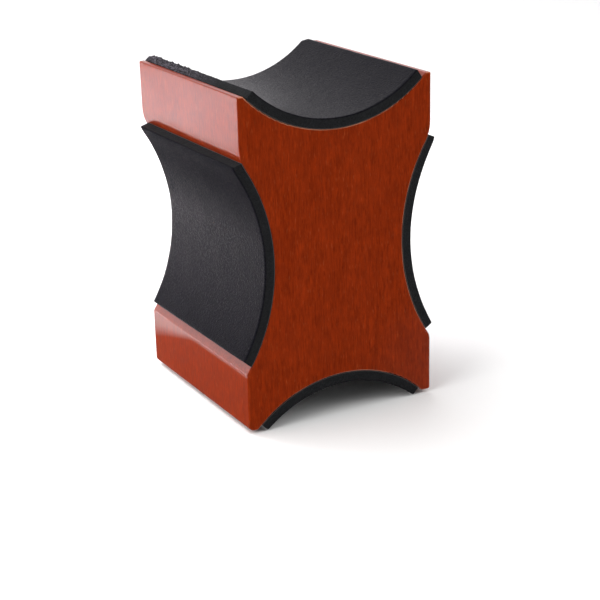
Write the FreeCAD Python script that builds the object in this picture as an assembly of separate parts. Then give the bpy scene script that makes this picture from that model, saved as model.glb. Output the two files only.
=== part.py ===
import FreeCAD, Part
import math
import os

# Instrument neck rest: a hardwood block with a padded saddle across each of its four long sides.
# Millimetres. +Z is up, the saddles run along Y, and the front face looks along -Y.
# The origin is in the middle of the footprint, at the level of the bottom pad's edges.

# The wooden block, and the flats left between its corners and the saddles.
block_width = 66.2
block_depth = 71.0
block_height = 104.4
top_flat = 1.85
bottom_flat = 3.05
side_flat = 18.8

# The depth of each saddle's arc below its side.
top_saddle_depth = 13.2
bottom_saddle_depth = 12.4
side_saddle_depth = 10.5

# The roundings: the lips where a saddle runs out onto a flat, the corners, and the front and back arrises.
end_lip_round = 0.7
side_upper_lip_round = 12.0
left_lower_lip_round = 1.5
right_lower_lip_round = 4.5
corner_rounds = {"bottom_right": 0.8, "top_right": 0.4, "top_left": 0.4, "bottom_left": 1.8}
corner_share_of_flat = 0.9
arris_round = 0.45

# The foam pads and the adhesive films under them.
foam_thickness = 3.0
film_thickness = 0.2
end_pad_proud = 1.0
side_pad_upper_gap = 4.4
left_pad_lower_gap = 3.2
right_pad_lower_gap = 4.3
side_pad_back_gap = 3.0

pad_thickness = foam_thickness + film_thickness
half_width = block_width / 2
half_height = block_height / 2
block_middle = end_pad_proud + half_height
front_face = -block_depth / 2


class Saddle:
    """One side of the block with its saddle, drawn on the front face.

    u runs along the side from its middle, and v points out of the wood. The flats are at v = 0. The
    lips are the roundings at the low-u end and the high-u end. Distances are measured along the wood."""

    def __init__(self, middle, along, half_mouth, depth, lips):
        self.middle = middle
        self.along = along
        self.outward = (along[1], -along[0])
        self.radius = (half_mouth**2 + depth**2) / (2 * depth)
        self.centre_height = self.radius - depth
        self.lips = lips

    def place(self, u, v):
        """The point at (u, v) of this side, on the front face."""
        x = self.middle[0] + u * self.along[0] + v * self.outward[0]
        z = self.middle[1] + u * self.along[1] + v * self.outward[1]
        return FreeCAD.Vector(x, front_face, z)

    def lip_start(self, end):
        """Where a lip meets its flat: the lip's arc touches both the flat and the saddle's arc."""
        lip = self.lips[end]
        return math.sqrt((self.radius + lip) ** 2 - (self.centre_height + lip) ** 2)

    def lip_angle(self, end):
        """How steep the wood is where a lip joins the saddle's arc."""
        return math.atan2(self.lip_start(end), self.centre_height + self.lips[end])

    def reach(self, end):
        """The distance from the saddle's middle to the flat at one end."""
        return (self.radius + self.lips[end]) * self.lip_angle(end)

    def on_arc(self, slope, height):
        """The point at this height above the saddle's arc, where the arc has this slope."""
        radius = self.radius - height
        return self.place(radius * math.sin(slope), self.centre_height - radius * math.cos(slope))

    def on_lip(self, end, slope, height):
        """The point at this height above a lip, where the lip has this slope."""
        radius = self.lips[end] + height
        u = self.lip_start(end) - radius * math.sin(slope)
        return self.place((-u, u)[end], radius * math.cos(slope) - self.lips[end])

    def follow(self, distances, height):
        """Arcs along the wood, at a height above it, out to a distance towards each end."""
        slopes = []
        lips = []
        for end, distance in enumerate(distances):
            steepest = self.lip_angle(end)
            slopes.append(min(distance / self.radius, steepest))
            past = distance - self.radius * steepest
            if past > 0:
                last = steepest - past / self.lips[end]
                steps = (steepest, (steepest + last) / 2, last)
                lips.append((end, [self.on_lip(end, slope, height) for slope in steps]))
        low, high = -slopes[0], slopes[1]
        saddle = [self.on_arc(slope, height) for slope in (low, (low + high) / 2, high)]
        before = [points[::-1] for end, points in lips if end == 0]
        after = [points for end, points in lips if end == 1]
        return [*before, saddle, *after]


def arcs(runs):
    """The edges of a run of arcs, each given by its first, middle and last point."""
    return [Part.Arc(*points).toShape() for points in runs]


def line(start, finish):
    return Part.LineSegment(start, finish).toShape()


def sheet(saddle, distances, low, high, depth):
    """A sheet that lies along the saddle between two heights, and runs back from the front face."""
    under = saddle.follow(distances, low)
    over = saddle.follow(distances, high)
    edges = arcs(under)
    edges.append(line(under[-1][2], over[-1][2]))
    edges.extend(arcs([points[::-1] for points in reversed(over)]))
    edges.append(line(over[0][0], under[0][0]))
    return Part.Face(Part.Wire(edges)).extrude(FreeCAD.Vector(0, depth, 0))


def end_saddle_pad(saddle):
    """How far a top or bottom pad runs, so that its free corners stand proud of the flats."""
    corner = (saddle.centre_height - end_pad_proud) / (saddle.radius - pad_thickness)
    distance = saddle.radius * math.acos(corner)
    return distance, distance


def side_saddle_pad(saddle, gaps):
    """How far a side pad runs: it stops short of the flat at each end, by these gaps."""
    return saddle.reach(0) - gaps[0], saddle.reach(1) - gaps[1]


def corner(name, right, up, saddle):
    """A rounded corner beside an end saddle: its points on the side, between, and on the end."""
    room = corner_share_of_flat * (half_width - saddle.lip_start(0))
    radius = min(corner_rounds[name], room)
    x = right * (half_width - radius)
    z = block_middle + up * (half_height - radius)
    slant = radius * math.sqrt(0.5)
    on_side = FreeCAD.Vector(x + right * radius, front_face, z)
    between = FreeCAD.Vector(x + right * slant, front_face, z + up * slant)
    on_end = FreeCAD.Vector(x, front_face, z + up * radius)
    return [on_side, between, on_end]


def saddle_block(bottom, right, top, left):
    """The wooden block: its outline goes once round the four saddles and the four corners."""
    sides = [
        (bottom, corner("bottom_right", 1, -1, bottom)[::-1]),
        (right, corner("top_right", 1, 1, top)),
        (top, corner("top_left", -1, 1, top)[::-1]),
        (left, corner("bottom_left", -1, -1, bottom)),
    ]
    edges = []
    previous = sides[-1][1]
    for saddle, rounding in sides:
        wood = saddle.follow((saddle.reach(0), saddle.reach(1)), 0.0)
        edges.append(line(previous[2], wood[0][0]))
        edges.extend(arcs(wood))
        edges.append(line(wood[-1][2], rounding[0]))
        edges.extend(arcs([rounding]))
        previous = rounding
    block = Part.Face(Part.Wire(edges)).extrude(FreeCAD.Vector(0, block_depth, 0))
    arrises = []
    for face in block.Faces:
        if abs(face.normalAt(0, 0).y) > 0.99:
            arrises.extend(face.Edges)
    return block.makeFillet(arris_round, arrises).Solids[0]


def write(name, shape):
    """Writes one node, and prints what it measures."""
    shape.exportStep(f"parts/{name}.step")
    box = shape.optimalBoundingBox()
    print(f"{name}: {shape.ShapeType}, valid {shape.isValid()}, {shape.Volume:.0f} mm3,"
          f" x {box.XMin:.2f} to {box.XMax:.2f}, y {box.YMin:.2f} to {box.YMax:.2f},"
          f" z {box.ZMin:.2f} to {box.ZMax:.2f}")


os.makedirs("parts", exist_ok=True)

end_lips = (end_lip_round, end_lip_round)
bottom = Saddle((0, block_middle - half_height), (1, 0), half_width - bottom_flat,
                bottom_saddle_depth, end_lips)
top = Saddle((0, block_middle + half_height), (-1, 0), half_width - top_flat,
             top_saddle_depth, end_lips)
right = Saddle((half_width, block_middle), (0, 1), half_height - side_flat,
               side_saddle_depth, (right_lower_lip_round, side_upper_lip_round))
left = Saddle((-half_width, block_middle), (0, -1), half_height - side_flat,
              side_saddle_depth, (side_upper_lip_round, left_lower_lip_round))

write("saddle_block", saddle_block(bottom, right, top, left))
pads = [
    ("top", top, end_saddle_pad(top), block_depth),
    ("bottom", bottom, end_saddle_pad(bottom), block_depth),
    ("left", left, side_saddle_pad(left, (side_pad_upper_gap, left_pad_lower_gap)), block_depth - side_pad_back_gap),
    ("right", right, side_saddle_pad(right, (right_pad_lower_gap, side_pad_upper_gap)), block_depth - side_pad_back_gap),
]
for side, saddle, distances, depth in pads:
    write(f"{side}_adhesive_film", sheet(saddle, distances, 0.0, film_thickness, depth))
    write(f"{side}_foam_pad", sheet(saddle, distances, film_thickness, pad_thickness, depth))
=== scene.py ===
import math

import bmesh
import bpy
import numpy as np
from mathutils import Matrix, Vector, noise


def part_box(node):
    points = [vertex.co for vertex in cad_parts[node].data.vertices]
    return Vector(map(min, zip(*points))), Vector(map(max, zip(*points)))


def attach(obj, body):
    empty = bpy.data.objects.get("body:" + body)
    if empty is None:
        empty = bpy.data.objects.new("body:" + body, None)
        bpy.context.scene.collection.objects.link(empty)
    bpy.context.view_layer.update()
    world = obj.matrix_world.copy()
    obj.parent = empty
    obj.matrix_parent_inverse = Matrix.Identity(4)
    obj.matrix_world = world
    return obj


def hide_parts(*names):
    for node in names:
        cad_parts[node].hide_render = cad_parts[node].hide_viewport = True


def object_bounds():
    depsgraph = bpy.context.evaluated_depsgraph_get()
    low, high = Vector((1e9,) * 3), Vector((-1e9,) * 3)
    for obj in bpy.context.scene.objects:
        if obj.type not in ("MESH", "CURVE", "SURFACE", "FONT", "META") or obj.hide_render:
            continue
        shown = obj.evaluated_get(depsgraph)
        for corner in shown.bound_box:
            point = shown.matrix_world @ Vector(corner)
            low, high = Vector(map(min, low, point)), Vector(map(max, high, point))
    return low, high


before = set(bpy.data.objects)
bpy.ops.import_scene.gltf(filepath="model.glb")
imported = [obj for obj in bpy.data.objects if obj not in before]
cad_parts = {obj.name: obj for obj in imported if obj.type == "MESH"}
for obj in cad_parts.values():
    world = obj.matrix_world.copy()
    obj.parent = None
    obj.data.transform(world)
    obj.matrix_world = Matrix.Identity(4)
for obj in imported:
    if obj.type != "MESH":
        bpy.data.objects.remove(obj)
cad_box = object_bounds()

MM = 0.001

# ---------------------------------------------------------------- the viewpoint

view_azimuth = math.radians(-28.3)
view_elevation = math.radians(19.2)
view_roll = math.radians(-1.46)
view_distance = 0.5156
view_lens = 93.0
aim_right_of_middle = 0.0048
aim_height_share = 0.2495


def make_camera():
    low, high = cad_box
    aim = Vector((aim_right_of_middle, 0.0, low.z + aim_height_share * (high.z - low.z)))
    back = Vector((
        math.sin(view_azimuth) * math.cos(view_elevation),
        -math.cos(view_azimuth) * math.cos(view_elevation),
        math.sin(view_elevation),
    ))
    data = bpy.data.cameras.new("studio_camera")
    data.lens = view_lens
    data.clip_start = 0.01
    data.clip_end = 20.0
    camera = bpy.data.objects.new("studio_camera", data)
    bpy.context.scene.collection.objects.link(camera)
    turn = (-back).to_track_quat("-Z", "Y").to_matrix().to_4x4()
    roll = Matrix.Rotation(view_roll, 4, "Z")
    camera.matrix_world = Matrix.Translation(aim + back * view_distance) @ turn @ roll
    bpy.context.scene.camera = camera


make_camera()

# ---------------------------------------------------------------- small node helpers


def add_node(tree, kind, **settings):
    node = tree.nodes.new(kind)
    for name, value in settings.items():
        setattr(node, name, value)
    return node


def put(node, **values):
    """Sets a node's inputs by name, an underscore standing for a space."""
    for name, value in values.items():
        node.inputs[name.replace("_", " ")].default_value = value
    return node


def feed(tree, socket, value):
    """Sets a socket to a plain value, or links another node's output to it."""
    if isinstance(value, (int, float, tuple)):
        socket.default_value = value
    else:
        tree.links.new(value, socket)


def math_node(tree, operation, first, second=None):
    node = add_node(tree, "ShaderNodeMath", operation=operation)
    feed(tree, node.inputs[0], first)
    if second is not None:
        feed(tree, node.inputs[1], second)
    return node.outputs[0]


def mix_colours(tree, amount, first, second):
    node = add_node(tree, "ShaderNodeMix", data_type="RGBA")
    factor, first_colour, second_colour = node.inputs[0], node.inputs[6], node.inputs[7]
    feed(tree, factor, amount)
    feed(tree, first_colour, first)
    feed(tree, second_colour, second)
    return node.outputs[2]


def scale_colour(tree, colour, amount):
    """A colour made lighter or darker by a value that is about 1."""
    node = add_node(tree, "ShaderNodeVectorMath", operation="SCALE")
    feed(tree, node.inputs[0], colour)
    feed(tree, node.inputs["Scale"], amount)
    return node.outputs[0]


def split_axes(tree, vector):
    """The X, Y and Z outputs of a vector."""
    node = add_node(tree, "ShaderNodeSeparateXYZ")
    tree.links.new(vector, node.inputs[0])
    return node.outputs


def remap(tree, value, low, high, to_low, to_high):
    """A value moved from one range to another, and held at the ends."""
    node = add_node(tree, "ShaderNodeMapRange")
    put(node, From_Min=low, From_Max=high, To_Min=to_low, To_Max=to_high)
    tree.links.new(value, node.inputs["Value"])
    return node.outputs[0]


def new_group(name, inputs, outputs):
    """A shader node group with named sockets, and its input and output nodes."""
    group = bpy.data.node_groups.new(name, "ShaderNodeTree")
    for label, kind, default in inputs:
        socket = group.interface.new_socket(label, in_out="INPUT", socket_type=kind)
        if default is not None:
            socket.default_value = default
    for label, kind in outputs:
        group.interface.new_socket(label, in_out="OUTPUT", socket_type=kind)
    return group, group.nodes.new("NodeGroupInput"), group.nodes.new("NodeGroupOutput")


def stretched_noise(tree, place, size, detail, roughness, distortion=0.0):
    """Noise whose patches are about this many millimetres across in X, Y and Z."""
    scale = add_node(tree, "ShaderNodeMapping", vector_type="POINT")
    scale.inputs["Scale"].default_value = [1.0 / (s * MM) for s in size]
    tree.links.new(place, scale.inputs["Vector"])
    node = add_node(tree, "ShaderNodeTexNoise")
    put(node, Scale=1.0, Detail=detail, Roughness=roughness, Distortion=distortion)
    tree.links.new(scale.outputs[0], node.inputs["Vector"])
    return node.outputs["Fac"]


def use_group(tree, group, **values):
    node = add_node(tree, "ShaderNodeGroup", node_tree=group)
    for name, value in values.items():
        feed(tree, node.inputs[name.replace("_", " ")], value)
    return node


def new_material(name):
    material = bpy.data.materials.new(name)
    material.use_nodes = True
    tree = material.node_tree
    shader = tree.nodes["Principled BSDF"]
    place = add_node(tree, "ShaderNodeTexCoord").outputs["Object"]
    return material, tree, shader, place


def add_bump(tree, shader, height, strength, distance):
    bump = put(add_node(tree, "ShaderNodeBump"), Strength=strength, Distance=distance)
    tree.links.new(height, bump.inputs["Height"])
    tree.links.new(bump.outputs["Normal"], shader.inputs["Normal"])
    return bump


# ---------------------------------------------------------------- effects built once as node groups

# noise seldom strays more than a quarter from its middle
noise_to_full_swing = 4.0

# the coarser grit between the foam's cells, and how dark a cell may get
grit_scale = 0.6
darkest_speckle = 0.05

# how far a small round leans to the front or back where its painted highlight starts, is full, fades and
# ends
highlight_starts, highlight_full, highlight_fades, highlight_ends = 0.15, 0.45, 0.90, 0.985
# the painted highlight is left off the rounds that face left, and broken into noise patches of this scale,
# none fainter than this share
left_rounds_end, right_rounds_start = -0.35, -0.12
highlight_patch_scale = 160.0
faintest_highlight = 0.35


def make_mottle():
    """Cloudy unevenness: a value about 1 that drifts by about Depth over patches Patch across."""
    group, entry, result = new_group(
        "cloudy_mottle",
        [
            ("Place", "NodeSocketVector", None),
            ("Patch", "NodeSocketFloat", 0.01),
            ("Depth", "NodeSocketFloat", 0.1),
        ],
        [("Value", "NodeSocketFloat")],
    )
    size = math_node(group, "DIVIDE", 1.0, entry.outputs["Patch"])
    cloud = put(add_node(group, "ShaderNodeTexNoise"), Detail=3.0, Roughness=0.55)
    group.links.new(entry.outputs["Place"], cloud.inputs["Vector"])
    group.links.new(size, cloud.inputs["Scale"])
    centred = math_node(group, "SUBTRACT", cloud.outputs["Fac"], 0.5)
    swing = math_node(group, "MULTIPLY", centred, entry.outputs["Depth"])
    full_swing = math_node(group, "MULTIPLY", swing, noise_to_full_swing)
    group.links.new(math_node(group, "ADD", full_swing, 1.0), result.inputs["Value"])
    return group


def make_cells():
    """The closed cells of foam, Cell across: Height for a bump, and Speckle, a value about 1."""
    group, entry, result = new_group(
        "foam_cells",
        [
            ("Place", "NodeSocketVector", None),
            ("Cell", "NodeSocketFloat", 0.0003),
            ("Contrast", "NodeSocketFloat", 0.3),
        ],
        [("Height", "NodeSocketFloat"), ("Speckle", "NodeSocketFloat")],
    )
    scale = math_node(group, "DIVIDE", 1.0, entry.outputs["Cell"])
    cells = put(add_node(group, "ShaderNodeTexVoronoi", feature="F1"), Randomness=1.0)
    group.links.new(entry.outputs["Place"], cells.inputs["Vector"])
    group.links.new(scale, cells.inputs["Scale"])
    grit = put(add_node(group, "ShaderNodeTexNoise"), Detail=2.0, Roughness=0.6)
    group.links.new(entry.outputs["Place"], grit.inputs["Vector"])
    group.links.new(math_node(group, "MULTIPLY", scale, grit_scale), grit.inputs["Scale"])
    mixed = math_node(group, "ADD", cells.outputs["Distance"], grit.outputs["Fac"])
    group.links.new(mixed, result.inputs["Height"])
    centred = math_node(group, "SUBTRACT", mixed, 1.0)
    swing = math_node(group, "MULTIPLY", centred, entry.outputs["Contrast"])
    speckle = math_node(group, "MAXIMUM", math_node(group, "ADD", swing, 1.0), darkest_speckle)
    group.links.new(speckle, result.inputs["Speckle"])
    return group


def make_painted_arris_highlight():
    """Where a painted highlight stands in for the glint of the small rounds: a Mask of the small rounds at
    the front and back, broken into patches.

    The rounds that face left are left out.
    """
    group, entry, result = new_group(
        "painted_arris_highlight",
        [("Place", "NodeSocketVector", None)],
        [("Mask", "NodeSocketFloat")],
    )
    facing = split_axes(group, add_node(group, "ShaderNodeNewGeometry").outputs["True Normal"])
    along = math_node(group, "ABSOLUTE", facing["Y"])
    rising = remap(group, along, highlight_starts, highlight_full, 0.0, 1.0)
    falling = remap(group, along, highlight_fades, highlight_ends, 1.0, 0.0)
    both = math_node(group, "MULTIPLY", rising, falling)
    rightward = remap(group, facing["X"], left_rounds_end, right_rounds_start, 0.0, 1.0)
    highlight_patches = put(add_node(group, "ShaderNodeTexNoise"), Scale=highlight_patch_scale, Detail=3.0, Roughness=0.6)
    group.links.new(entry.outputs["Place"], highlight_patches.inputs["Vector"])
    patchy = remap(group, highlight_patches.outputs["Fac"], 0.35, 0.6, faintest_highlight, 1.0)
    highlit_rounds = math_node(group, "MULTIPLY", both, patchy)
    group.links.new(math_node(group, "MULTIPLY", highlit_rounds, rightward), result.inputs["Mask"])
    return group


mottle = make_mottle()
cells = make_cells()
painted_arris_highlight = make_painted_arris_highlight()

# ---------------------------------------------------------------- the stained and lacquered wood

# how far each mark of the grain runs in X, Y and Z, in millimetres
band_size = (6.0, 6.0, 42.0)
fibre_size = (0.55, 0.55, 4.5)
pore_size = (0.36, 0.36, 2.6)
fleck_size = (0.50, 0.50, 2.6)

stain_deep = (0.172, 0.0148, 0.0008, 1.0)
stain_bright = (0.226, 0.0225, 0.0026, 1.0)
pore_colour = (0.090, 0.0080, 0.0003, 1.0)
fleck_colour = (0.295, 0.062, 0.018, 1.0)
# a lighter colour on the small rounds: a painted highlight that stands in for their glint, and how strongly
# it is mixed in
arris_highlight_colour = (0.56, 0.24, 0.14, 1.0)
pore_strength = 0.60
fleck_strength = 0.50
arris_highlight_strength = 0.75

# where in their noise the pores and flecks start and are full, and the middle stretch of the fibres' noise
pore_starts, pore_full = 0.54, 0.74
fleck_starts, fleck_full = 0.62, 0.80
fibre_low, fibre_high = 0.3, 0.7
darkest_fibre, brightest_fibre = 0.72, 1.32
smooth_fibre, rough_fibre = 0.44, 0.54
pore_depth = 0.8

# the lacquer shines where it is seen at a slant, and hardly where it is faced
gloss_starts, gloss_full = 0.20, 0.42
gloss_when_faced = 0.005

# the dull lower left land: its upper border follows the lip above it, and falls and blurs behind its middle
border_height = 19.8 * MM
border_blur = 1.5 * MM
border_bend_y = 5.0 * MM
border_fall = 0.13
blur_growth = 90.0
land_face_x, land_end_x = -33.0 * MM, -32.2 * MM

# the lacquer is thinner above the lower lips
full_lacquer_top, thin_lacquer_bottom = 26.0 * MM, 34.0 * MM
thin_lacquer = 0.40


def lacquer_polish(tree, place):
    """How much of the lacquer's gloss is left, from 0 on the dull land to 1."""
    at = split_axes(tree, place)
    behind = math_node(tree, "MAXIMUM", math_node(tree, "SUBTRACT", at["Y"], border_bend_y), 0.0)
    raised = math_node(tree, "ADD", at["Z"], math_node(tree, "MULTIPLY", behind, border_fall))
    under = math_node(tree, "SUBTRACT", raised, border_height)
    softening = math_node(tree, "ADD", math_node(tree, "MULTIPLY", behind, blur_growth), 1.0)
    below_lip = remap(tree, math_node(tree, "DIVIDE", under, softening), -border_blur, 0.0, 1.0, 0.0)
    left_land = remap(tree, at["X"], land_face_x, land_end_x, 1.0, 0.0)
    dulled = math_node(tree, "MULTIPLY", below_lip, left_land)
    thinned = remap(tree, at["Z"], full_lacquer_top, thin_lacquer_bottom, 1.0, thin_lacquer)
    return math_node(tree, "MULTIPLY", math_node(tree, "SUBTRACT", 1.0, dulled), thinned)


def stained_wood():
    """Red-brown stain under satin lacquer, with the grain running up the block."""
    material, tree, shader, place = new_material("stained_wood")
    bands = stretched_noise(tree, place, band_size, 3.0, 0.55, 0.4)
    fibres = stretched_noise(tree, place, fibre_size, 4.0, 0.7)
    pores = stretched_noise(tree, place, pore_size, 2.0, 0.6)
    flecks = stretched_noise(tree, place, fleck_size, 1.0, 0.5)
    pore = remap(tree, pores, pore_starts, pore_full, 0.0, 1.0)
    fleck = remap(tree, flecks, fleck_starts, fleck_full, 0.0, 1.0)
    cloud = use_group(tree, mottle, Place=place, Patch=0.004, Depth=0.09)
    stain = mix_colours(tree, bands, stain_deep, stain_bright)
    fibre_shade = remap(tree, fibres, fibre_low, fibre_high, darkest_fibre, brightest_fibre)
    shade = math_node(tree, "MULTIPLY", fibre_shade, cloud.outputs["Value"])
    figured = scale_colour(tree, stain, shade)
    pored = mix_colours(tree, math_node(tree, "MULTIPLY", pore, pore_strength), figured, pore_colour)
    flecked = mix_colours(tree, math_node(tree, "MULTIPLY", fleck, fleck_strength), pored, fleck_colour)
    # the small rounds at the front and back get a painted highlight, mixed into the stain where the mask
    # says
    edges = use_group(tree, painted_arris_highlight, Place=place)
    painted_glint = math_node(tree, "MULTIPLY", edges.outputs["Mask"], arris_highlight_strength)
    tree.links.new(mix_colours(tree, painted_glint, flecked, arris_highlight_colour), shader.inputs["Base Color"])
    roughness = remap(tree, fibres, fibre_low, fibre_high, smooth_fibre, rough_fibre)
    tree.links.new(roughness, shader.inputs["Roughness"])
    put(shader, Specular_IOR_Level=0.02, Coat_IOR=1.5, Coat_Roughness=0.14)
    facing = put(add_node(tree, "ShaderNodeLayerWeight"), Blend=0.5)
    gloss = remap(tree, facing.outputs["Facing"], gloss_starts, gloss_full, gloss_when_faced, 1.0)
    coat = math_node(tree, "MULTIPLY", gloss, lacquer_polish(tree, place))
    tree.links.new(coat, shader.inputs["Coat Weight"])
    relief = math_node(tree, "SUBTRACT", fibres, math_node(tree, "MULTIPLY", pore, pore_depth))
    bump = add_bump(tree, shader, relief, strength=0.10, distance=0.05 * MM)
    tree.links.new(bump.outputs["Normal"], shader.inputs["Coat Normal"])
    return material


# ---------------------------------------------------------------- the foam and its adhesive film

cell_size = 0.55 * MM
skin_colour = (0.0046, 0.0043, 0.0066)
cut_colour = (0.0090, 0.0095, 0.0105, 1.0)
torn_colour = (0.034, 0.031, 0.037, 1.0)
film_colour = (0.018, 0.012, 0.010)

# the roughness of each face, from the shallowest cell to the deepest, or over the film's clouds
shallow_cell, deep_cell = 0.6, 1.4
smooth_skin, rough_skin = 0.20, 0.46
smooth_cut, rough_cut = 0.80, 0.95
thin_cloud, full_cloud = 0.7, 1.3
smooth_film, rough_film = 0.45, 0.70

# how strong the specks of a clean cut are, as a share of those of a torn one
speckle_when_clean = 0.25

# the side pads are rougher in their upper half, and the top pad starts above them
rougher_from, rougher_above = 58.0 * MM, 76.0 * MM
side_pads_top, top_pad_bottom = 87.0 * MM, 89.0 * MM
added_roughness = 0.37


def foam_skin():
    """The rolled outer skin of black closed-cell foam: satin, faintly grey, finely speckled."""
    material, tree, shader, place = new_material("foam_skin")
    grain = use_group(tree, cells, Place=place, Cell=cell_size, Contrast=1.1)
    cloud = use_group(tree, mottle, Place=place, Patch=0.010, Depth=0.10)
    shade = math_node(tree, "MULTIPLY", grain.outputs["Speckle"], cloud.outputs["Value"])
    tree.links.new(scale_colour(tree, skin_colour, shade), shader.inputs["Base Color"])
    height = split_axes(tree, place)["Z"]
    upper = remap(tree, height, rougher_from, rougher_above, 0.0, 1.0)
    side_pads = remap(tree, height, side_pads_top, top_pad_bottom, 1.0, 0.0)
    upper_side = math_node(tree, "MULTIPLY", upper, side_pads)
    rough = remap(tree, grain.outputs["Height"], shallow_cell, deep_cell, smooth_skin, rough_skin)
    rougher = math_node(tree, "ADD", rough, math_node(tree, "MULTIPLY", upper_side, added_roughness))
    tree.links.new(rougher, shader.inputs["Roughness"])
    put(shader, Specular_IOR_Level=0.02)
    add_bump(tree, shader, grain.outputs["Height"], strength=0.45, distance=0.2 * MM)
    return material


def foam_cut():
    """The knife-cut edge of the foam, nearly black, and greyer with stronger specks where it tore."""
    material, tree, shader, place = new_material("foam_cut")
    grain = use_group(tree, cells, Place=place, Cell=cell_size, Contrast=4.0)
    cloud = use_group(tree, mottle, Place=place, Patch=0.004, Depth=0.2)
    torn = add_node(tree, "ShaderNodeAttribute", attribute_name="torn").outputs["Fac"]
    off_mean = math_node(tree, "SUBTRACT", grain.outputs["Speckle"], 1.0)
    strength = remap(tree, torn, 0.0, 1.0, speckle_when_clean, 1.0)
    swing = math_node(tree, "MULTIPLY", off_mean, strength)
    shade = math_node(tree, "MULTIPLY", math_node(tree, "ADD", swing, 1.0), cloud.outputs["Value"])
    grey = mix_colours(tree, torn, cut_colour, torn_colour)
    tree.links.new(scale_colour(tree, grey, shade), shader.inputs["Base Color"])
    rough = remap(tree, grain.outputs["Height"], shallow_cell, deep_cell, smooth_cut, rough_cut)
    tree.links.new(rough, shader.inputs["Roughness"])
    put(shader, Specular_IOR_Level=0.1)
    add_bump(tree, shader, grain.outputs["Height"], strength=0.7, distance=0.25 * MM)
    return material


def adhesive_film():
    """Thin dark double-sided film, a little cloudy."""
    material, tree, shader, place = new_material("adhesive_film")
    cloud = use_group(tree, mottle, Place=place, Patch=0.004, Depth=0.2)
    tree.links.new(scale_colour(tree, film_colour, cloud.outputs["Value"]), shader.inputs["Base Color"])
    rough = remap(tree, cloud.outputs["Value"], thin_cloud, full_cloud, smooth_film, rough_film)
    tree.links.new(rough, shader.inputs["Roughness"])
    add_bump(tree, shader, cloud.outputs["Value"], strength=0.2, distance=0.1 * MM)
    return material


wood = stained_wood()
skin = foam_skin()
cut_foam = foam_cut()
film_finish = adhesive_film()

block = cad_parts["saddle_block"]
block.data.materials.clear()
block.data.materials.append(wood)

# ---------------------------------------------------------------- the curve that each pad is glued to

weld_distance = 0.001 * MM
front_band = 0.01 * MM


def front_outline(node):
    """The corners of a CAD sheet's front face, in order round it, as (x, z) pairs."""
    mesh = bmesh.new()
    mesh.from_mesh(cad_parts[node].data)
    bmesh.ops.remove_doubles(mesh, verts=mesh.verts, dist=weld_distance)
    front = min(v.co.y for v in mesh.verts) + front_band
    edges = []
    for edge in mesh.edges:
        ends_in_front = all(v.co.y < front for v in edge.verts)
        front_faces = [f for f in edge.link_faces if all(v.co.y < front for v in f.verts)]
        if ends_in_front and len(front_faces) == 1:
            edges.append(edge)
    loop = [edges[0].verts[0], edges[0].verts[1]]
    unused = set(edges[1:])
    while unused:
        following = next(e for e in unused if loop[-1] in e.verts)
        unused.remove(following)
        loop.append(following.other_vert(loop[-1]))
    outline = np.array([(v.co.x, v.co.z) for v in loop[:-1]])
    mesh.free()
    return outline


def path_steps(points):
    return np.linalg.norm(np.diff(points, axis=0), axis=1)


def glued_curve(node):
    """The side of a CAD sheet that faces the wood, as ordered (x, z) points."""
    outline = front_outline(node)
    before = outline - np.roll(outline, 1, axis=0)
    after = np.roll(outline, -1, axis=0) - outline
    lengths = np.linalg.norm(before, axis=1) * np.linalg.norm(after, axis=1)
    turn = np.abs(np.cross(before, after)) / lengths
    corners = sorted(np.argsort(turn)[-4:])
    sides = []
    for first, last in zip(corners, corners[1:] + [corners[0] + len(outline)]):
        sides.append(outline[np.arange(first, last + 1) % len(outline)])
    long_sides = sorted(sides, key=lambda side: path_steps(side).sum())[-2:]
    middle = np.array([0.0, (cad_box[0].z + cad_box[1].z) / 2])
    return min(long_sides, key=lambda side: np.linalg.norm(side.mean(axis=0) - middle))


class Bed:
    """The curved bed that a pad lies on. Distances run along the wood, and heights stand off it."""

    def __init__(self, node):
        points = glued_curve(node)
        low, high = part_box(node)
        self.front = low.y
        self.back = high.y
        across, up = points[-1] - points[0]
        rising = across > 0 if abs(across) > abs(up) else up > 0
        self.points = points if rising else points[::-1]
        self.marks = np.concatenate([[0.0], np.cumsum(path_steps(self.points))])
        self.length = self.marks[-1]
        self.slopes = self.tangents()
        self.side = 1.0
        middle = np.array([(low.x + high.x) / 2, (low.z + high.z) / 2])
        if self.normal_at(self.length / 2) @ (middle - self.point_at(self.length / 2)) <= 0:
            self.side = -1.0

    def tangents(self):
        """The direction of the curve at each of its points."""
        slopes = np.gradient(self.points, self.marks, axis=0, edge_order=2)
        return slopes / np.linalg.norm(slopes, axis=1)[:, None]

    def point_at(self, distance):
        """The point at a distance along the bed, which runs on straight past its ends."""
        inside = min(max(distance, 0.0), self.length)
        i = min(int(np.searchsorted(self.marks, inside, side="right")) - 1, len(self.marks) - 2)
        span = self.marks[i + 1] - self.marks[i]
        t = (inside - self.marks[i]) / span
        start, finish = self.points[i], self.points[i + 1]
        start_pull, finish_pull = self.slopes[i] * span, self.slopes[i + 1] * span
        point = ((2 * t**3 - 3 * t**2 + 1) * start + (t**3 - 2 * t**2 + t) * start_pull
                 + (3 * t**2 - 2 * t**3) * finish + (t**3 - t**2) * finish_pull)
        return point + (distance - inside) * self.slopes[0 if distance < inside else -1]

    def normal_at(self, distance):
        """The direction off the bed towards the free side of the sheet."""
        step = 0.2 * MM
        ahead = self.point_at(distance + step) - self.point_at(distance - step)
        ahead /= np.linalg.norm(ahead)
        return np.array([-ahead[1], ahead[0]]) * self.side

    def place(self, distance, y, height):
        """The point at a distance along the bed, a depth Y and a height off the bed."""
        x, z = self.point_at(distance) + self.normal_at(distance) * height
        return Vector((x, y, z))


# ---------------------------------------------------------------- the foam pads

# the small round between a pad's free face and its cut edges, and where its rows of points lie
rim_round = 0.35 * MM
rim_steps = (0.0, 0.06, 0.15, 0.35, 1.0)
wall_rows = 6

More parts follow.
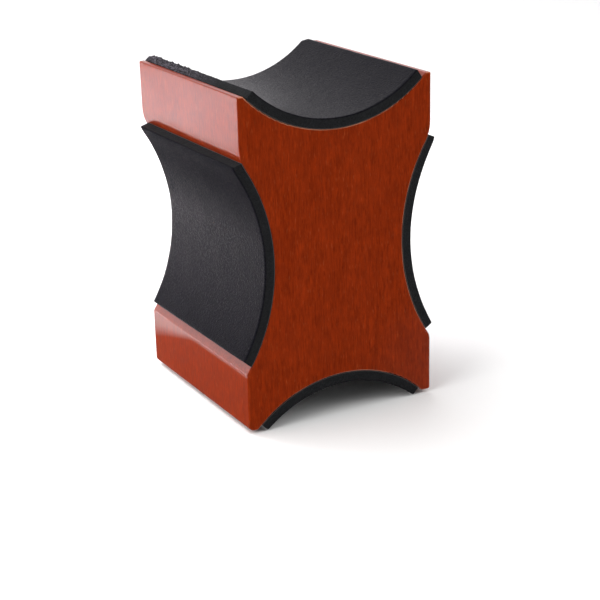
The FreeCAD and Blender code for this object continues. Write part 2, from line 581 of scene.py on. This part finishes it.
# how a knife strays: in long waves, with a share of short ones on them
long_wave, short_wave, short_share = 14.0 * MM, 3.0 * MM, 0.3
usual_wander, front_wander, film_wander = 0.10 * MM, 0.05 * MM, 0.03 * MM

# a torn edge: how soon it is fully torn, and the crumbs that stand out from it and on its rim
tear_onset = 0.35
large_crumb, large_crumb_pitch = 0.45 * MM, 1.6 * MM
small_crumb, small_crumb_pitch = 0.15 * MM, 0.7 * MM
rim_crumb, rim_crumb_pitch, rim_crumb_sink = 0.75 * MM, 1.3 * MM, 0.08 * MM
rim_crumbs_within, rim_crumbs_above = 0.5 * MM, 0.8

# crumbs and trimmed corners have this share of their size at the wood, and all of it at the free face
foot_share = 0.3

# each kind of crumb has its own row of the noise, and each seed lies this far from the next
large_crumb_seed, small_crumb_seed, rim_crumb_seed = 5.0, 6.0, 8.0
seed_spacing, noise_layer = 7.31, 3.7

# the back corners of the top pad: where they are trimmed off, and where the torn one sags further
trim_start = 0.96
sag_start, corner_sag = 0.94, 0.6

# how far in from an edge its thinning and its sag die away, and the swells of the free face
thinning_length = 6.0 * MM
swell_size, swell_height = 9.0 * MM, 0.05 * MM

pad_pitch, film_pitch = 0.7 * MM, 2.5 * MM

# the two finishes of a sheet, as the places of its materials
face_finish, edge_finish = 0, 1


def spaced(length, pitch):
    """Distances along a sheet: close together in its rounded rims, and even between them."""
    rim = [step * rim_round for step in rim_steps]
    count = max(2, round((length - 2 * rim[-1]) / pitch))
    between = np.linspace(rim[-1], length - rim[-1], count + 1)[1:-1]
    return np.array([*rim, *between, *(length - r for r in reversed(rim))])


def wave(place, size, seed):
    """A smooth random value from about -1 to 1 that changes over this distance."""
    return noise.noise(Vector((place / size, seed * seed_spacing, noise_layer)))


class Cut:
    """One cut edge of a pad: how far the knife strays outwards, and how the edge tears and sags.

    reach moves the whole cut out, lean its free face, and skew its far end. tear_start is the share
    of its length where it begins to tear, trim is cut off its far corner, and droop is its sag there.
    """

    def __init__(self, seed, wander=usual_wander, reach=0.0, lean=0.0, skew=0.0,
                 tear_start=None, trim=0.0, droop=0.0):
        self.seed = seed
        self.wander = wander
        self.reach = reach
        self.lean = lean
        self.skew = skew
        self.tear_start = tear_start
        self.trim = trim
        self.droop = droop

    def torn(self, share):
        """How torn the edge is, from 0 where it was cut clean to 1, at a share of its length."""
        if self.tear_start is None:
            return 0.0
        return max(0.0, min(1.0, (share - self.tear_start) / tear_onset))

    def stray(self, along, share, rise):
        """How far out the cut is, at a place along the edge and a share of the thickness."""
        long_stray = wave(along, long_wave, self.seed)
        short_stray = wave(along, short_wave, self.seed + 0.5)
        out = self.wander * (long_stray + short_share * short_stray)
        out += self.reach + self.lean * rise + self.skew * share
        crumbs = large_crumb * abs(wave(along, large_crumb_pitch, large_crumb_seed))
        crumbs += small_crumb * wave(along, small_crumb_pitch, small_crumb_seed + rise)
        size_here = foot_share + (1.0 - foot_share) * rise
        out += self.torn(share) * crumbs * size_here
        out -= self.trim * size_here * max(0.0, (share - trim_start) / (1.0 - trim_start))
        return out

    def sag(self, inward, share, rise):
        """How far the pad has sunk, at a distance in from the edge and a share of its length."""
        corner = max(0.0, (share - sag_start) / (1.0 - sag_start))
        return self.droop * rise * (share + corner_sag * corner) * math.exp(-inward / thinning_length)

    def rim_crumbs(self, along, share):
        """How far the crumbs on the torn rim stand up."""
        crumb = rim_crumb * abs(wave(along, rim_crumb_pitch, rim_crumb_seed))
        return self.torn(share) * (crumb - rim_crumb_sink)


def rim_drop(u, v, length, depth):
    """How far the free face falls away in the small round along its edges."""
    du = max(0.0, rim_round - min(u, length - u))
    dv = max(0.0, rim_round - min(v, depth - v))
    inward = min(math.hypot(du, dv), rim_round)
    return rim_round - math.sqrt(rim_round**2 - inward**2)


def sheet_mesh(name, bed, cuts, thickness, pitch, rounded=False, thinning=(0.0, 0.0)):
    """A closed sheet on a bed, with a knife cut along each of its four edges.

    A rounded sheet has small rounds and low swells on its free face, and thinning is the share of
    its thickness that it loses at its start and its end.
    """
    depth = bed.back - bed.front
    across = spaced(bed.length, pitch)
    along = spaced(depth, pitch)
    start_cut, end_cut, front_cut, back_cut = cuts
    mesh = bmesh.new()
    torn = mesh.verts.layers.float.new("torn")

    def vertex(i, j, rise):
        u, v = across[i], along[j]
        share_u, share_v = u / bed.length, v / depth
        start = -start_cut.stray(v, share_v, rise)
        end = bed.length + end_cut.stray(v, share_v, rise)
        front = -front_cut.stray(u, share_u, rise)
        back = depth + back_cut.stray(u, share_u, rise)
        distance = start + (end - start) * share_u
        y = bed.front + front + (back - front) * share_v
        thinned = thinning[0] * math.exp(-u / thinning_length)
        thinned += thinning[1] * math.exp((u - bed.length) / thinning_length)
        height = thickness * rise * (1.0 - thinned)
        if rise == 1.0 and rounded:
            height -= rim_drop(u, v, bed.length, depth)
            swell = noise.noise(Vector((u / swell_size, v / swell_size, front_cut.seed)))
            height += swell_height * swell
        height -= start_cut.sag(u, share_v, rise)
        if rise > rim_crumbs_above and u < rim_crumbs_within:
            height += start_cut.rim_crumbs(v, share_v)
        corner = mesh.verts.new(bed.place(distance, y, height))
        corner[torn] = start_cut.torn(share_v) if i == 0 else 0.0
        return corner

    def grid(rise):
        return [[vertex(i, j, rise) for j in range(len(along))] for i in range(len(across))]

    top, bottom = grid(1.0), grid(0.0)
    last_i, last_j = len(across) - 1, len(along) - 1
    ring = [(i, 0) for i in range(last_i)] + [(last_i, j) for j in range(last_j)]
    ring += [(i, last_j) for i in range(last_i, 0, -1)] + [(0, j) for j in range(last_j, 0, -1)]
    top_rise = 1.0 - rim_round / thickness if rounded else 1.0
    rows = [[bottom[i][j] for i, j in ring]]
    for row in range(1, wall_rows):
        rise = top_rise * row / wall_rows
        rows.append([vertex(i, j, rise) for i, j in ring])
    rows.append([top[i][j] for i, j in ring])
    for points, flip in ((top, False), (bottom, True)):
        for i in range(last_i):
            for j in range(last_j):
                corners = [points[i][j], points[i + 1][j], points[i + 1][j + 1], points[i][j + 1]]
                face = mesh.faces.new(corners[::-1] if flip else corners)
                face.material_index = face_finish
    for lower, upper in zip(rows, rows[1:]):
        for k in range(len(ring)):
            following = (k + 1) % len(ring)
            face = mesh.faces.new([lower[k], lower[following], upper[following], upper[k]])
            face.material_index = edge_finish
    bmesh.ops.recalc_face_normals(mesh, faces=mesh.faces)
    for face in mesh.faces:
        face.smooth = True
    data = bpy.data.meshes.new(name)
    mesh.to_mesh(data)
    mesh.free()
    piece = bpy.data.objects.new(name, data)
    bpy.context.scene.collection.objects.link(piece)
    return piece


# each pad's cuts: at its start and its end along the curve, at its front and at its back
pad_cuts = {
    "top": (
        Cut(1.0, reach=0.65 * MM, skew=1.1 * MM, tear_start=0.25, trim=0.6 * MM, droop=0.6 * MM),
        Cut(2.0, lean=0.5 * MM, trim=1.6 * MM),
        Cut(3.0, wander=front_wander),
        Cut(4.0),
    ),
    "bottom": (Cut(11.0), Cut(12.0), Cut(13.0, wander=front_wander), Cut(14.0)),
    "left": (
        Cut(21.0, lean=-0.5 * MM, skew=0.4 * MM),
        Cut(22.0, lean=0.3 * MM, skew=-0.5 * MM),
        Cut(23.0, wander=front_wander),
        Cut(24.0, wander=0.5 * MM),
    ),
    "right": (Cut(31.0), Cut(32.0), Cut(33.0, wander=front_wander), Cut(34.0, wander=0.4 * MM)),
}
pad_thinning = {"top": (0.0, 0.0), "bottom": (0.1, 0.1), "left": (0.0, 0.0), "right": (0.12, 0.22)}


def film_gap(bed, wood_bed):
    """The height of the film: from the wood up to the foam."""
    return float(np.linalg.norm(bed.point_at(bed.length / 2) - wood_bed.point_at(wood_bed.length / 2)))


def foam_thickness(side, bed):
    """The height of the CAD pad's free face above its glued one, at its middle."""
    middle, out = bed.point_at(bed.length / 2), bed.normal_at(bed.length / 2)
    sideways = np.array([out[1], -out[0]])
    near_middle = 3.0 * MM
    heights = []
    for point in front_outline(f"{side}_foam_pad"):
        if abs((point - middle) @ sideways) < near_middle:
            heights.append((point - middle) @ out)
    return float(max(heights))


def make_pad(side):
    """One foam pad and the adhesive film under it."""
    bed = Bed(f"{side}_foam_pad")
    wood_bed = Bed(f"{side}_adhesive_film")
    thickness = foam_thickness(side, bed)
    pad = sheet_mesh(f"{side}_pad", bed, pad_cuts[side], thickness, pad_pitch, True, pad_thinning[side])
    pad.data.materials.append(skin)
    pad.data.materials.append(cut_foam)
    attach(pad, "root")
    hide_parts(f"{side}_foam_pad")
    film_cuts = [Cut(cut.seed + 0.25, wander=film_wander, skew=cut.skew) for cut in pad_cuts[side]]
    film = sheet_mesh(f"{side}_film", wood_bed, film_cuts, film_gap(bed, wood_bed), film_pitch)
    film.data.materials.append(film_finish)
    film.data.materials.append(film_finish)
    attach(film, "root")
    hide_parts(f"{side}_adhesive_film")


for side in ("top", "bottom", "left", "right"):
    make_pad(side)

# ---------------------------------------------------------------- the studio

floor_half_width = 4.0
floor_colour = (0.90, 0.90, 0.895, 1.0)
white = (1.0, 1.0, 1.0)
back_wall_white = (1.0, 0.96, 1.0)
warm_pink = (1.0, 0.89, 0.97)
world_strength = 0.40


def make_floor():
    data = bpy.data.meshes.new("floor")
    half, level = floor_half_width, cad_box[0].z
    corners = [(x * half, y * half, level) for x, y in ((-1, -1), (1, -1), (1, 1), (-1, 1))]
    data.from_pydata(corners, [], [(0, 1, 2, 3)])
    floor = bpy.data.objects.new("floor", data)
    bpy.context.scene.collection.objects.link(floor)
    material, tree, shader, place = new_material("pale_floor")
    put(shader, Base_Color=floor_colour, Roughness=0.9, Specular_IOR_Level=0.1)
    data.materials.append(material)


def soft_light(name, place, aim, size, power, spread=180.0, colour=white):
    """A rectangular light at a place, aimed at another, which the camera doesn't see."""
    data = bpy.data.lights.new(name, "AREA")
    data.shape = "RECTANGLE"
    data.size, data.size_y = size
    data.energy = power
    data.color = colour
    data.spread = math.radians(spread)
    light = bpy.data.objects.new(name, data)
    bpy.context.scene.collection.objects.link(light)
    light.location = place
    light.rotation_mode = "QUATERNION"
    light.rotation_quaternion = (Vector(aim) - Vector(place)).to_track_quat("-Z", "Y")
    light.visible_camera = False


def make_world():
    world = bpy.data.worlds.new("studio")
    bpy.context.scene.world = world
    world.use_nodes = True
    put(world.node_tree.nodes["Background"], Color=(*white, 1.0), Strength=world_strength)


make_floor()
make_world()
soft_light("overhead_softbox", (-0.25, 0.30, 0.85), (-0.05, 0.10, 0.0), (0.8, 0.8), 7.0)
soft_light("left_softbox", (-0.85, -0.20, 0.55), (0.0, 0.0, 0.05), (0.6, 0.6), 5.4)
soft_light("back_wall", (0.0, 1.30, 0.62), (0.0, 0.0, 0.62), (2.8, 1.2), 15.0, colour=back_wall_white)
soft_light("right_softbox", (0.9, -0.5, 0.6), (0.0, 0.0, 0.05), (0.7, 0.7), 5.0)
soft_light("floor_light", (-0.28, 0.50, 0.50), (-0.20, 0.40, 0.0), (0.25, 0.25), 2.3, 70.0, warm_pink)
bpy.context.scene.view_settings.view_transform = "Standard"
